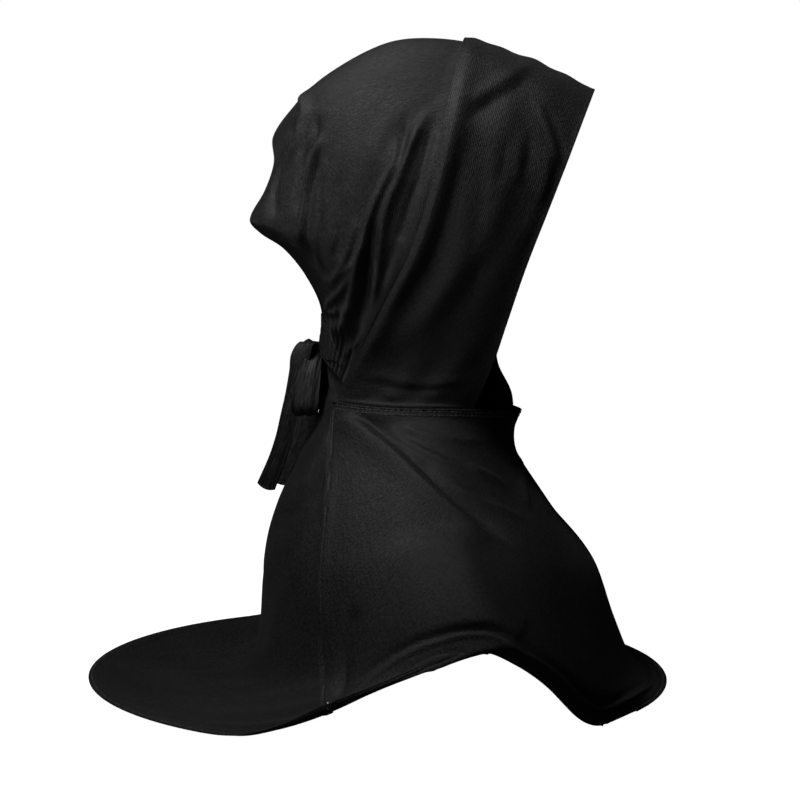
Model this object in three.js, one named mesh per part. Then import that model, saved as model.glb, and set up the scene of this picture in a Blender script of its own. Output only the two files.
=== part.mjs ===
// A knitted hood with a shoulder cape, tied at the nape. Millimetres.
// +X is the wearer's front, +Y the wearer's left, +Z up, and the origin is the inside of the crown.
import * as THREE from "three";

// Driving dimensions.
const HOOD_DEPTH = 239;       // rear droop of the bag to the face edge
const CROWN_DROP = 246;       // crown to the collar seam
const HEAD_HALF_WIDTH = 77;   // middle of the head to the side of the hood
const COLLAR_DEPTH = 140;     // collar, front to back
const COLLAR_HALF_WIDTH = 62;
const COLLAR_SHIFT = -5;      // collar middle ahead of the crown
const FLOOR_DROP = 441;       // crown to the plane that the back hem lies on
const HEM_LENGTH = 408;       // front bib to the tip of the back panel
const HEM_SHIFT = -36;        // hem middle ahead of the crown
const HEM_HALF_WIDTH = 150;
const HEM_RISE = 61;          // lift of the hem over each shoulder
const BACK_LIFT = 4;          // back hem above the front one
const WALL = 1.4;             // cloth
const HEM_WALL = 2.2;         // turned-up hem
const GAP = 0.4;              // between two layers that touch
const TUCK = 7;               // hood inside the collar
const COLLAR_AT = 0.97;       // place on a rib where it meets the collar
const LAP = 0.06;             // share of the face panel that covers the bag
const GATHER_AT = 0.91;       // place on the ridge where the bag is tied in
const FOLD = 5;               // depth of a full fold
const SWELL = 4;              // crown of the face panel between its two edges
const FOOT_RISE = 2;          // straight foot of the hood above the collar seam
const RIB_LENGTH = 330;       // crown to collar along the face panel
const PANEL_WIDTH = 95;       // ridge to face edge
const BAG_LENGTH = 300;       // crown to nape over the bag
const BAG_HALF_WIDTH = 110;   // middle of the back to the ridge, along the cloth
const CAPE_LENGTH = 230;      // collar to hem along the side
const TIE_WIDTH = 18;
const TIE_WALL = 2;
const TIE_LENGTH = 90;        // knot to the end of a tail
const LOOP_LENGTH = 43;
const KNOT_SIZE = 13;

const lerp = (a, b, t) => a + (b - a) * t;
const clamp = (x, low, high) => Math.min(high, Math.max(low, x));
const radians = THREE.MathUtils.degToRad;
const smooth = (x, from, to) => { const t = clamp((x - from) / (to - from), 0, 1); return t * t * (3 - 2 * t); };

const add = (a, b, k = 1) => [a[0] + k * b[0], a[1] + k * b[1], a[2] + k * b[2]];
const cross = (a, b) => [a[1] * b[2] - a[2] * b[1], a[2] * b[0] - a[0] * b[2], a[0] * b[1] - a[1] * b[0]];
const dot = (a, b) => a[0] * b[0] + a[1] * b[1] + a[2] * b[2];
const unit = (a) => { const n = Math.hypot(...a) || 1; return a.map((x) => x / n); };
const mix = (a, b, t) => a.map((x, i) => lerp(x, b[i], t));

// A table is named columns over short rows, and at() reads one column as a smooth curve.
const table = (names, rows) => Object.fromEntries(names.split(" ").map((name, i) => [name, rows.map((row) => row[i])]));
function at(xs, ys, x, flatStart = false) {
  const last = xs.length - 1;
  const slope = (i) => {
    if (i === 0) return flatStart ? 0 : (ys[1] - ys[0]) / (xs[1] - xs[0]);
    if (i === last) return (ys[last] - ys[last - 1]) / (xs[last] - xs[last - 1]);
    return (ys[i + 1] - ys[i - 1]) / (xs[i + 1] - xs[i - 1]);
  };
  const place = clamp(x, xs[0], xs[last]);
  let i = 0;
  while (i < last - 1 && place > xs[i + 1]) i++;
  const h = xs[i + 1] - xs[i], s = (place - xs[i]) / h, s2 = s * s, s3 = s2 * s;
  return (2 * s3 - 3 * s2 + 1) * ys[i] + (s3 - 2 * s2 + s) * h * slope(i)
    + (3 * s2 - 2 * s3) * ys[i + 1] + (s3 - s2) * h * slope(i + 1);
}

// Ribs run from the crown (at 0) down one side to the collar (at 1):
// forward as a share of HOOD_DEPTH, down of CROWN_DROP, out of HEAD_HALF_WIDTH.
const RIDGE_RIB = [
  [0.00,  0.100, -0.003, 0.000], [0.10,  0.090,  0.016, 0.377], [0.20,  0.071,  0.077, 0.701],
  [0.33,  0.033,  0.228, 0.948], [0.46, -0.004,  0.398, 1.006], [0.60, -0.054,  0.561, 0.987],
  [0.73, -0.119,  0.687, 0.909], [0.83, -0.165,  0.780, 0.792], [0.92, -0.213,  0.882, 0.649]];
const FACE_RIB = [
  [0.00,  0.471,  0.134, 0.000], [0.10,  0.450,  0.163, 0.364], [0.20,  0.414,  0.232, 0.662],
  [0.33,  0.360,  0.358, 0.844], [0.46,  0.310,  0.480, 0.903], [0.60,  0.257,  0.614, 0.896],
  [0.73,  0.218,  0.736, 0.857], [0.83,  0.192,  0.829, 0.818], [0.92,  0.159,  0.915, 0.766]];
// The left side of the face edge comes further round to the front of the neck.
const FACE_RIB_LEFT = [...FACE_RIB.slice(0, 7), [0.83, 0.209, 0.837, 0.818], [0.92, 0.230, 0.927, 0.649]];
const RIDGE_ANGLE = radians(149), FACE_ANGLE = radians(60.5), FACE_ANGLE_LEFT = radians(16);
// Middle line of the bag, from the ridge over the back of the head to the nape.
const BACK_LINE = table("at forward down", [
  [0.10, -0.021, -0.002], [0.20, -0.142,  0.015], [0.33, -0.297,  0.096], [0.42, -0.389,  0.177],
  [0.50, -0.450,  0.260], [0.56, -0.448,  0.333], [0.62, -0.475,  0.411], [0.70, -0.519,  0.490],
  [0.74, -0.490,  0.526], [0.80, -0.423,  0.569], [0.87, -0.360,  0.642], [0.93, -0.318,  0.715],
  [0.97, -0.310,  0.780], [1.00, -0.322,  0.862]]);
// Cape rings, each value the share of the way from the collar (0) to the hem (1).
const CAPE_RINGS = table("at frontOut frontDown sideOut sideDown backOut backDown", [
  [0.00,  0.000, 0.000, 0.000, 0.000, 0.000, 0.000], [0.06, -0.049, 0.074, 0.034, 0.075, 0.024, 0.073],
  [0.14, -0.019, 0.176, 0.182, 0.179, 0.091, 0.197], [0.27,  0.214, 0.362, 0.466, 0.388, 0.194, 0.383],
  [0.42,  0.485, 0.553, 0.750, 0.627, 0.252, 0.596], [0.55,  0.641, 0.750, 0.909, 0.799, 0.267, 0.788],
  [0.66,  0.767, 0.904, 0.966, 0.903, 0.321, 0.938], [0.74,  0.854, 0.957, 0.989, 0.948, 0.461, 0.990],
  [1.00,  1.000, 1.000, 1.000, 1.000, 1.000, 1.000]]);
// Lift of the hem round the cape, in shares of HEM_RISE, by plan angle from the front.
const HEM_LIFT = table("angle lift", [
  [0, 0], [46, 0], [52, 0.12], [60, 0.55], [66, 0.87], [72, 1], [80, 0.86], [90, 0.62],
  [98, 0.42], [106, 0.18], [114, 0.03], [122, 0], [180, 0]]);
// Side seam, by plan angle from the front.
const SIDE_SEAM = table("at angle", [
  [0.00, 150.0], [0.05, 146.7], [0.10, 139.4], [0.20, 129.7], [0.30, 126.6], [0.50, 127.6],
  [0.60, 127.3], [0.70, 121.0], [0.80, 111.5], [0.90, 104.0], [1.00,  98.4]]);

// Folds: a line through three places on the sheet, then half-width and height in shares of FOLD.
const FACE_FOLDS = [
  [[0.30, 0.12], [0.60, 0.27], [0.80, 0.19], 1.8, -0.9], [[0.44, 0.31], [0.61, 0.42], [0.78, 0.34], 1.4,  0.5],
  [[0.13, 0.56], [0.24, 0.38], [0.31, 0.22], 1.6,  0.5], [[0.14, 0.68], [0.27, 0.48], [0.36, 0.22], 1.8, -0.7],
  [[0.36, 0.50], [0.42, 0.59], [0.48, 0.64], 1.2, -0.4], [[0.41, 0.34], [0.54, 0.51], [0.66, 0.67], 1.2, -0.5],
  [[0.88, 0.16], [0.885, 0.5], [0.86, 0.90], 1.4,  0.5], [[0.91, 0.26], [0.915, 0.62], [0.89, 0.92], 1.0, -0.5],
  [[0.20, 0.935], [0.55, 0.945], [0.92, 0.94], 0.8, -0.5]];
const BAG_FOLDS = [
  [[0.29, 0.42], [0.25, 0.56], [0.41, 0.68], 1.0, -0.8], [[0.45, 0.44], [0.44, 0.56], [0.53, 0.68], 1.0, -0.7],
  [[0.48, 0.50], [0.49, 0.62], [0.56, 0.74], 1.0,  0.6], [[0.54, 0.55], [0.64, 0.68], [0.64, 0.80], 1.0, -0.6],
  [[0.74, 0.65], [0.76, 0.72], [0.62, 0.85], 1.0,  0.6], [[0.81, 0.38], [0.835, 0.6], [0.76, 0.82], 1.2, -1.0],
  [[0.92, 0.36], [0.86, 0.54], [0.93, 0.76], 1.2,  0.9], [[0.41, 0.94], [0.67, 0.91], [0.76, 0.84], 1.4,  0.6]];
const CAPE_FOLDS = [
  [[142, 0.02], [ 98, 0.18], [ 75, 0.38], 1.8, -1.2], [[116, 0.07], [ 98, 0.16], [ 78, 0.28], 1.4,  0.7],
  [[114, 0.05], [ 80, 0.13], [ 30, 0.13], 1.6, -0.9], [[ 96, 0.10], [ 76, 0.21], [ 48, 0.30], 1.6,  0.7],
  [[130, 0.09], [108, 0.20], [ 88, 0.39], 1.6, -0.6], [[121, 0.55], [124, 0.62], [122, 0.70], 1.2, -0.6],
  [[ 25, 0.16], [ 35, 0.21], [ 45, 0.27], 1.6,  0.5], [[140, 0.12], [154, 0.17], [161, 0.23], 1.6,  0.6],
  [[126, 0.35], [130, 0.49], [135, 0.61], 1.2,  0.7], [[168, 0.62], [171, 0.76], [173, 0.92], 1.2,  0.4]];

// Height of the folds at (a, b); scale turns both into millimetres across the sheet.
function foldHeight(folds, a, b, scaleA, scaleB) {
  let height = 0;
  for (const [p0, p1, p2, width, share] of folds) {
    let near = Infinity;
    for (const [p, q] of [[p0, p1], [p1, p2]]) {
      const d = [(q[0] - p[0]) * scaleA, (q[1] - p[1]) * scaleB];
      const w = [(a - p[0]) * scaleA, (b - p[1]) * scaleB];
      const t = clamp((d[0] * w[0] + d[1] * w[1]) / (d[0] * d[0] + d[1] * d[1]), 0, 1);
      near = Math.min(near, Math.hypot(w[0] - t * d[0], w[1] - t * d[1]));
    }
    height += share * FOLD * Math.exp(-((near / (width * FOLD)) ** 2));
  }
  return height;
}

// Outward normal of a sheet, f(a, b), whose a and b directions turn from one to the other round it.
function normalOf(f, a, b, step = 0.004) {
  const da = add(f(a + step, b), f(a - step, b), -1), db = add(f(a, b + step), f(a, b - step), -1);
  return unit(cross(da, db));
}
const folded = (base, height, step) => (a, b) => add(base(a, b), normalOf(base, a, b, step), height(a, b));

// Collar ring, the line that the hood and the cape share.
const collarDown = (angle) => CROWN_DROP * (1 + Math.cos(angle) ** 2 * (Math.cos(angle) > 0 ? 0.024 : -0.012));
function collar(angle, inset = 0, lower = 0) {
  const inward = inset + 0.5 * Math.max(lower, 0);
  return [COLLAR_SHIFT + (COLLAR_DEPTH / 2 - inward) * Math.cos(angle),
    (COLLAR_HALF_WIDTH - inward) * Math.sin(angle), -collarDown(angle) - lower];
}

// Face panel: b runs from the right foot (-1) over the crown to the left foot (1), a from ridge to face edge.
function rib(rows, angle) {
  const foot = collar(angle, WALL + GAP, -FOOT_RISE);
  const all = table("at forward down out", [...rows,
    [COLLAR_AT, foot[0] / HOOD_DEPTH, -foot[2] / CROWN_DROP, foot[1] / HEAD_HALF_WIDTH]]);
  return (t) => [HOOD_DEPTH * at(all.at, all.forward, t, true),
    HEAD_HALF_WIDTH * at(all.at, all.out, t), -CROWN_DROP * at(all.at, all.down, t, true)];
}
const ridge = rib(RIDGE_RIB, RIDGE_ANGLE);
const faceEdge = [rib(FACE_RIB, FACE_ANGLE), rib(FACE_RIB_LEFT, FACE_ANGLE_LEFT)];
function facePlain(a, b) {
  const t = Math.min(Math.abs(b), COLLAR_AT), k = (t / COLLAR_AT) ** 6, left = b > 0 ? 1 : 0;
  const g = Math.sign(a) * Math.abs(a) ** (1 + 0.9 * t ** 3);
  const lower = lerp(-FOOT_RISE, TUCK, Math.max(Math.abs(b) - COLLAR_AT, 0) / (1 - COLLAR_AT));
  const foot = collar(lerp(RIDGE_ANGLE, left ? FACE_ANGLE_LEFT : FACE_ANGLE, g), WALL + GAP, lower);
  const point = mix(mix(ridge(t), faceEdge[left](t), g), foot, k);
  const lean = clamp(point[1] / HEAD_HALF_WIDTH, 0, 1), swell = SWELL * Math.sin(Math.PI * clamp(g, 0, 1)) * (1 - k);
  return [point[0], (left ? 1 : -1) * (point[1] + swell * lean), point[2] + swell * Math.sqrt(1 - lean * lean)];
}
const faceFolds = (a, b) => smooth(a, 0.08, 0.16) * smooth(1.02 - a, 0, 0.12) * foldHeight(FACE_FOLDS, Math.abs(b), a, RIB_LENGTH, PANEL_WIDTH);
const face = folded(facePlain, faceFolds);

// Bag: a runs from the right ridge (-1) round the back to the left ridge (1), b from crown to nape.
const underFace = (side, b) => {
  const t = side * Math.max(b * GATHER_AT, 0.0001);
  return add(face(LAP, t), normalOf(face, LAP, side * Math.max(b * GATHER_AT, 0.01)), -WALL - 2 * GAP);
};
const pole = add(face(LAP, 0), [0, 0, 1], -WALL - 2 * GAP);
function bagPlain(a, b) {
  const t = clamp(b, 0, 1), edge = underFace(a < 0 ? -1 : 1, t), phi = a * Math.PI / 2, w = 1 - Math.cos(phi);
  const places = [0, ...BACK_LINE.at];
  const x = at(places, [pole[0], ...BACK_LINE.forward.map((s) => s * HOOD_DEPTH)], t);
  const z = at(places, [pole[2], ...BACK_LINE.down.map((s) => -s * CROWN_DROP)], t);
  return [lerp(x, edge[0], w), Math.abs(edge[1]) * Math.sin(phi), lerp(z, edge[2], w)];
}
const bagFolds = (a, b) => smooth(0.96 - Math.abs(a), 0, 0.08) * smooth(b, 0.15, 0.3)
  * foldHeight(BAG_FOLDS, Math.abs(a), b, BAG_HALF_WIDTH, BAG_LENGTH);
const bagSheet = folded(bagPlain, bagFolds);
const bag = (a, b) => (b < 0.004 ? pole : bagSheet(a, b));

// Cape: b is the plan angle from the front, right side negative, and a runs from collar to hem.
function capePlain(a, b) {
  const t = clamp(a, 0, 1), c = Math.cos(b), share = (name) => at(CAPE_RINGS.at, CAPE_RINGS[name], t);
  const front = lerp(COLLAR_SHIFT + COLLAR_DEPTH / 2, HEM_SHIFT + HEM_LENGTH / 2, share("frontOut"));
  const back = lerp(COLLAR_SHIFT - COLLAR_DEPTH / 2, HEM_SHIFT - HEM_LENGTH / 2, share("backOut"));
  const out = lerp(COLLAR_HALF_WIDTH, HEM_HALF_WIDTH, share("sideOut"));
  const low = FLOOR_DROP - 1, lowBack = low - BACK_LIFT, lowSide = low - HEM_RISE;
  const side = lerp(CROWN_DROP, lowSide, share("sideDown"));
  const end = c > 0 ? lerp(collarDown(0), low, share("frontDown")) : lerp(collarDown(Math.PI), lowBack, share("backDown"));
  const lift = clamp(at(HEM_LIFT.angle, HEM_LIFT.lift, THREE.MathUtils.radToDeg(Math.abs(b))), 0, 1);
  const hem = lerp(lowBack, low, (1 + c) / 2) - HEM_RISE * lift;
  const down = lerp(lerp(side, end, c * c), hem, smooth(t, 0.42, 1));
  return [(front + back) / 2 + (front - back) / 2 * c, out * Math.sin(b), -down];
}
const capeFolds = (a, b) => smooth(a, 0.03, 0.09) * smooth(1.02 - a, 0, 0.1)
  * foldHeight(CAPE_FOLDS, THREE.MathUtils.radToDeg(Math.abs(b)), a, 0.01 * HEM_HALF_WIDTH, CAPE_LENGTH);
const cape = folded(capePlain, capeFolds);
const seam = (a) => radians(at(SIDE_SEAM.at, SIDE_SEAM.angle, a));
const seamGap = (a) => GAP / lerp(COLLAR_HALF_WIDTH, HEM_HALF_WIDTH, clamp(a, 0, 1));
const capeFront = (a, b) => cape(a, b * (seam(a) - seamGap(a)));
// Above the collar the back panel stands up the neck, under the face panel, and ends inside the rim of the bag.
const standTop = (b) => add(bag(b, 0.985), normalOf(bag, clamp(b, -0.99, 0.99), 0.985), -WALL - 2.5 * GAP);
function capeBack(a, b) {
  const angle = Math.PI + b * (Math.PI - seam(a) - 3 * seamGap(a));
  if (a >= 0) return cape(a, angle > Math.PI ? angle - 2 * Math.PI : angle);
  const step = Math.min(-a / 0.12, 1);
  return mix(collar(angle, 3 * WALL * step, -(WALL + 4 * GAP) * step), standTop(-b), -a);
}

// A closed sheet of cloth: the outer grid, the same grid a wall further in, and a rim round both.
function shell(name, f, as, bs, wall, material, tip = null) {
  const points = [], index = new Map(), faces = [];
  const vertex = (p) => {
    const key = p.map((x) => Math.round(x * 2000)).join();
    if (!index.has(key)) { index.set(key, points.length / 3); points.push(...p); }
    return index.get(key);
  };
  const layers = [0, 1].map((inner) => as.map((a) => bs.map((b) => {
    const p = f(a, b);
    if (!inner) return vertex(p);
    const n = tip && b < 0.004 ? tip : normalOf(f, clamp(a, as[0] + 0.004, as.at(-1) - 0.004), clamp(b, bs[0] + 0.004, bs.at(-1) - 0.004));
    return vertex(add(p, n, -wall(a, b)));
  })));
  const tri = (i, j, k) => { if (i !== j && j !== k && k !== i) faces.push(i, j, k); };
  const quad = (i, j, k, l) => { tri(i, j, k); tri(i, k, l); };
  const [outer, inner] = layers, m = as.length - 1, n = bs.length - 1;
  for (let i = 0; i < m; i++) for (let j = 0; j < n; j++) {
    quad(outer[i][j], outer[i + 1][j], outer[i + 1][j + 1], outer[i][j + 1]);
    quad(inner[i][j], inner[i][j + 1], inner[i + 1][j + 1], inner[i + 1][j]);
  }
  for (let i = 0; i < m; i++) {
    quad(outer[i][0], inner[i][0], inner[i + 1][0], outer[i + 1][0]);
    quad(outer[i][n], outer[i + 1][n], inner[i + 1][n], inner[i][n]);
  }
  for (let j = 0; j < n; j++) {
    quad(outer[0][j], outer[0][j + 1], inner[0][j + 1], inner[0][j]);
    quad(outer[m][j], inner[m][j], inner[m][j + 1], outer[m][j + 1]);
  }
  return meshOf(name, points, faces, material);
}

// A flat tie along a path: rows of place from the knot, width share, and turn of the width in degrees.
function ribbon(name, rows, origin, side, sizes, material) {
  const [length, width, thick] = sizes, steps = 2 * (rows.length - 1), places = rows.map((_, i) => i);
  const column = (k, t) => at(places, rows.map((row) => row[k]), t);
  const spine = (t) => [origin[0] + length * column(0, t), origin[1] + side * length * column(1, t), origin[2] + length * column(2, t)];
  const points = [], faces = [], ring = 8;
  for (let i = 0; i <= steps; i++) {
    const t = i * (rows.length - 1) / steps, p = spine(t);
    const along = unit(add(spine(Math.min(t + 0.05, rows.length - 1)), spine(Math.max(t - 0.05, 0)), -1));
    const turn = radians(column(4, t)), aim = [Math.cos(turn), side * Math.sin(turn), 0];
    const wide = unit(add(aim, along, -dot(aim, along))), flat = cross(along, wide);
    for (let k = 0; k < ring; k++) {
      const phi = (k + 0.5) * 2 * Math.PI / ring, c = Math.cos(phi), s = Math.sin(phi);
      const u = 0.5 * width * column(3, t) * Math.sign(c) * Math.abs(c) ** 0.35, v = 0.5 * thick * Math.sign(s) * Math.abs(s) ** 0.6;
      points.push(...add(add(p, wide, u), flat, v));
    }
  }
  for (let i = 0; i < steps; i++) for (let k = 0; k < ring; k++) {
    const a = i * ring + k, b = i * ring + (k + 1) % ring;
    faces.push(a, b, b + ring, a, b + ring, a + ring);
  }
  for (let k = 1; k < ring - 1; k++) faces.push(0, k + 1, k, steps * ring, steps * ring + k, steps * ring + k + 1);
  return meshOf(name, points, faces, material);
}

function meshOf(name, points, faces, material) {
  let volume = 0;
  const corner = (i) => points.slice(3 * faces[i], 3 * faces[i] + 3);
  for (let i = 0; i < faces.length; i += 3) volume += dot(corner(i), cross(corner(i + 1), corner(i + 2)));
  if (volume < 0) faces.reverse();
  const geometry = new THREE.BufferGeometry();
  geometry.setAttribute("position", new THREE.Float32BufferAttribute(points, 3));
  geometry.setIndex(faces);
  geometry.computeVertexNormals();
  const mesh = new THREE.Mesh(geometry, material);
  mesh.name = name;
  return mesh;
}

const jersey = new THREE.MeshStandardMaterial({ name: "black_jersey", color: 0x141416, roughness: 0.85, metalness: 0 });
const tape = new THREE.MeshStandardMaterial({ name: "tie_jersey", color: 0x18181a, roughness: 0.8, metalness: 0 });

const spread = (from, to, count) => Array.from({ length: count + 1 }, (_, i) => lerp(from, to, i / count));
const plain = () => WALL;
const hemmed = (a) => (a > 0.955 ? HEM_WALL : WALL);
const capeRows = [0, 0.06, 0.13, 0.2, 0.27, 0.34, 0.42, 0.5, 0.58, 0.66, 0.74, 0.84, 0.95, 0.96, 1];

const garment = new THREE.Group();
garment.name = "underscarf";
const bagRows = [...spread(0, 0.925, 13), 0.955, 0.975, 0.995], faceRows = [...bagRows.map((b) => b * GATHER_AT), COLLAR_AT, 1];
const bothWays = [...faceRows.slice(1).reverse().map((b) => -b), ...faceRows];
garment.add(shell("face_panel", face, [0, LAP, 0.15, 0.24, 0.34, 0.44, 0.54, 0.64, 0.75, 0.86, 0.95, 1], bothWays, (a) => (a > 0.95 ? HEM_WALL : WALL), jersey));
garment.add(shell("hood_back", bag, spread(-1, 1, 36), bagRows, plain, jersey, [0, 0, 1]));
garment.add(shell("cape_front", capeFront, capeRows, spread(-1, 1, 34), hemmed, jersey));
garment.add(shell("cape_back", capeBack, [-1, -0.66, -0.33, -0.12, ...capeRows], spread(-1, 1, 22), hemmed, jersey));

// Tie: a band over the rim of the bag, a knot behind it, two loops and two tails.
const band = (a, b) => add(bag(a, b), normalOf(bag, a, b), WALL + GAP);
const bandColumns = spread(-1, 1, 36).filter((a) => Math.abs(a) < 0.85);
garment.add(shell("tie_band", band, bandColumns, [0.955, 0.975, 0.995], plain, tape));
const rim = bag(0, 0.975);
const knotAt = [rim[0] - WALL - 2 * GAP - 0.6 * KNOT_SIZE, 0, -0.86 * CROWN_DROP];
const knot = new THREE.SphereGeometry(KNOT_SIZE / 2, 14, 10).scale(0.92, 1.1, 1.3).translate(...knotAt);
knot.deleteAttribute("uv");
knot.deleteAttribute("normal");
const knotMesh = new THREE.Mesh(knot, tape);
knotMesh.name = "tie_knot";
garment.add(knotMesh);
const LOOP_PATH = [
  [ 0.05, 0.20,  0.04, 0.45, 0], [ 0.03, 0.32,  0.12, 0.60, 0], [ 0.00, 0.45,  0.00, 0.80, 0],
  [-0.02, 0.56, -0.40, 1.00, 4], [-0.04, 0.60, -0.78, 1.05, 6], [-0.05, 0.54, -0.98, 1.05, 6],
  [-0.03, 0.48, -0.78, 1.00, 6], [ 0.00, 0.44, -0.42, 0.85, 4], [ 0.03, 0.36, -0.14, 0.60, 0], [ 0.05, 0.22, -0.10, 0.45, 0]];
const TAIL_PATH = [
  [-0.01, 0.055, 0.100, 0.40, 90], [-0.055, 0.06, 0.105, 0.50, 75], [-0.095, 0.065, 0.04, 0.65, 35],
  [-0.10, 0.07, -0.12, 0.75, 10], [-0.10, 0.075, -0.40, 0.80, 0], [-0.17, 0.08, -0.70, 0.80, 0], [-0.29, 0.08, -1.00, 0.85, 0]];
for (const [word, side] of [["right", -1], ["left", 1]]) {
  garment.add(ribbon(`tie_loop_${word}`, LOOP_PATH, knotAt, side, [LOOP_LENGTH, TIE_WIDTH, TIE_WALL], tape));
  garment.add(ribbon(`tie_tail_${word}`, TAIL_PATH, knotAt, side, [TIE_LENGTH, TIE_WIDTH, TIE_WALL], tape));
}

export default garment;
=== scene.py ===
# %% [markdown]
# # A knitted hood with a shoulder cape
#
# This lesson builds one garment: a close hood of thin black jersey whose back hangs as a soft bag, tied
# in at the nape, and a cape that covers the neck and shoulders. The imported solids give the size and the
# place of each panel. Here every panel is made again as a thin closed sheet with its folds, hems and
# stitches.

# %% Load the frame
import bmesh
import bpy
import numpy as np
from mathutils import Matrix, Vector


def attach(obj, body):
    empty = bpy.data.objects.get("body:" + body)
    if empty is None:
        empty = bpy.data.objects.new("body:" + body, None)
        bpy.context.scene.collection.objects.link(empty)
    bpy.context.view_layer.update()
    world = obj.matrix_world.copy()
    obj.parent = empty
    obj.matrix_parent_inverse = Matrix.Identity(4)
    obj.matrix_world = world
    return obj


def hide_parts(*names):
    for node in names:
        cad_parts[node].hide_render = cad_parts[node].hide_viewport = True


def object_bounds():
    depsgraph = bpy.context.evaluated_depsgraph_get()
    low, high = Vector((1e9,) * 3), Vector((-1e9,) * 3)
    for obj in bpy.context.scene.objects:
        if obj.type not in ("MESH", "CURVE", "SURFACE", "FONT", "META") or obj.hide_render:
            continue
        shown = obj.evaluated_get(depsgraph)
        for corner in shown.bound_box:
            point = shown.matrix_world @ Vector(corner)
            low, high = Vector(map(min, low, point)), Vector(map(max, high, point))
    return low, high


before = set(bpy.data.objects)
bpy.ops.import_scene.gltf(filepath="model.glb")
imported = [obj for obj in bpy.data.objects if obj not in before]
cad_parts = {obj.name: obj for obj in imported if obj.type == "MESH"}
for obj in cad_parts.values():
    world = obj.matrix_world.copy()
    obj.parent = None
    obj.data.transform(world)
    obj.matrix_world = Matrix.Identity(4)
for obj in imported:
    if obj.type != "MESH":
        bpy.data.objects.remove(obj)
cad_low, cad_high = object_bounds()
MM = 0.001


def box_size(low, high):
    """The three sides of a box in mm."""
    return [round((h - l) / MM, 1) for l, h in zip(low, high)]


print("solids", len(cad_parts), "size in mm", box_size(cad_low, cad_high))

# %% [markdown]
# ## The camera, the light and the floor
#
# The garment is seen from its right side, a little from above. Black cloth shows its folds only where a
# light glances off them. One broad lamp far away would light every fold alike, so three small soft ones
# stand close by: the key above and behind the hood, a weak fill low on the camera's side, and a faint one
# over the front of the hood. The world looks white to the camera but lights the cloth only a little.

# %% Camera
lens = bpy.data.cameras.new("camera")
lens.sensor_width = 36
lens.lens = 51.75
camera = bpy.data.objects.new("camera", lens)
camera.location = (-0.0205, -0.805, -0.1754)
camera.rotation_euler = (np.radians(85), 0, 0)
bpy.context.collection.objects.link(camera)
bpy.context.scene.camera = camera

# %% Lights
def soft_light(name, place, aim, power, size):
    """A square soft light size metres wide at a place, turned to face the point aim."""
    light = bpy.data.lights.new(name, "AREA")
    light.energy = power
    light.size = size
    lamp = bpy.data.objects.new(name, light)
    lamp.location = place
    x, y, z = (a - p for a, p in zip(aim, place))
    lamp.rotation_euler = (np.arccos(-z / np.sqrt(x * x + y * y + z * z)), 0, np.arctan2(y, x) - np.pi / 2)
    bpy.context.collection.objects.link(lamp)


soft_light("key", (-0.29, -0.24, 0.36), (-0.02, 0, -0.12), 3.5, 0.2)
soft_light("fill", (-0.38, -0.55, -0.05), (0, 0, -0.15), 0.8, 0.2)
soft_light("top", (0.06, -0.15, 0.20), (0.05, 0, 0.05), 0.2, 0.08)

world = bpy.data.worlds.new("studio")
bpy.context.scene.world = world
world.use_nodes = True
sky = world.node_tree.nodes
sight = sky.new("ShaderNodeLightPath")
amount = sky.new("ShaderNodeMapRange")
amount.inputs["To Min"].default_value = 0.01
amount.inputs["To Max"].default_value = 1.0
world.node_tree.links.new(sight.outputs["Is Camera Ray"], amount.inputs["Value"])
world.node_tree.links.new(amount.outputs["Result"], sky["Background"].inputs["Strength"])
sky["Background"].inputs["Color"].default_value = (1, 1, 1, 1)
bpy.context.scene.view_settings.view_transform = "Standard"
print("camera and lights placed")

# %% [markdown]
# ## Shader maths as Python
#
# A finish is worked out as an expression. Nodes could be placed and linked one by one, but the formula
# would be hard to see. So a small class wraps one socket, and Python's own signs add Math nodes: a mask
# can be written as 1 - mask. Every other node comes from one method of the finish.

# %% A finish and its values
class Value:
    """One output of a node. Adding, taking away, multiplying and wave() add Math nodes."""

    def __init__(self, finish, socket):
        self.finish = finish
        self.socket = socket

    def math(self, operation, first, second):
        return self.finish.node("ShaderNodeMath", {"operation": operation}, {0: first, 1: second})

    def __add__(self, other):
        return self.math("ADD", self, other)

    def __sub__(self, other):
        return self.math("SUBTRACT", self, other)

    def __mul__(self, other):
        return self.math("MULTIPLY", self, other)

    def __rsub__(self, other):
        return self.math("SUBTRACT", other, self)

    __radd__ = __add__
    __rmul__ = __mul__

    def wave(self):
        return self.math("SINE", self, 0)


class Finish:
    """A material under construction. node() adds any node: its type, its settings, then its sockets."""

    def __init__(self, name):
        self.material = bpy.data.materials.new(name)
        self.material.use_nodes = True
        self.tree = self.material.node_tree
        self.shader = self.tree.nodes["Principled BSDF"]

    def node(self, kind, settings=None, sockets=None, out=0):
        node = self.tree.nodes.new(kind)
        for key, value in (settings or {}).items():
            setattr(node, key, value)
        for key, value in (sockets or {}).items():
            self.set(node.inputs[key], value)
        return Value(self, node.outputs[out])

    def set(self, socket, value):
        if isinstance(value, Value):
            self.tree.links.new(value.socket, socket)
        else:
            socket.default_value = value


# %% [markdown]
# ## The jersey
#
# The cloth is a fine plain knit. Its loops stand in columns, one each 1.1 mm, and catch the light as a
# faint vertical grain. A picture of cloth would blur close up, so the grain is worked out from waves and
# noise. The pattern reads the sheet's own UV map, which is in metres along the cloth, so the grain
# follows every fold. The colour is nearly black and the sheen comes from fine fibre ends.

# %% Make the jersey
ROUGH, SHINE = 0.62, 0.28
WALE = 2 * np.pi / 5600  # one column of loops, in metres


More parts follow.
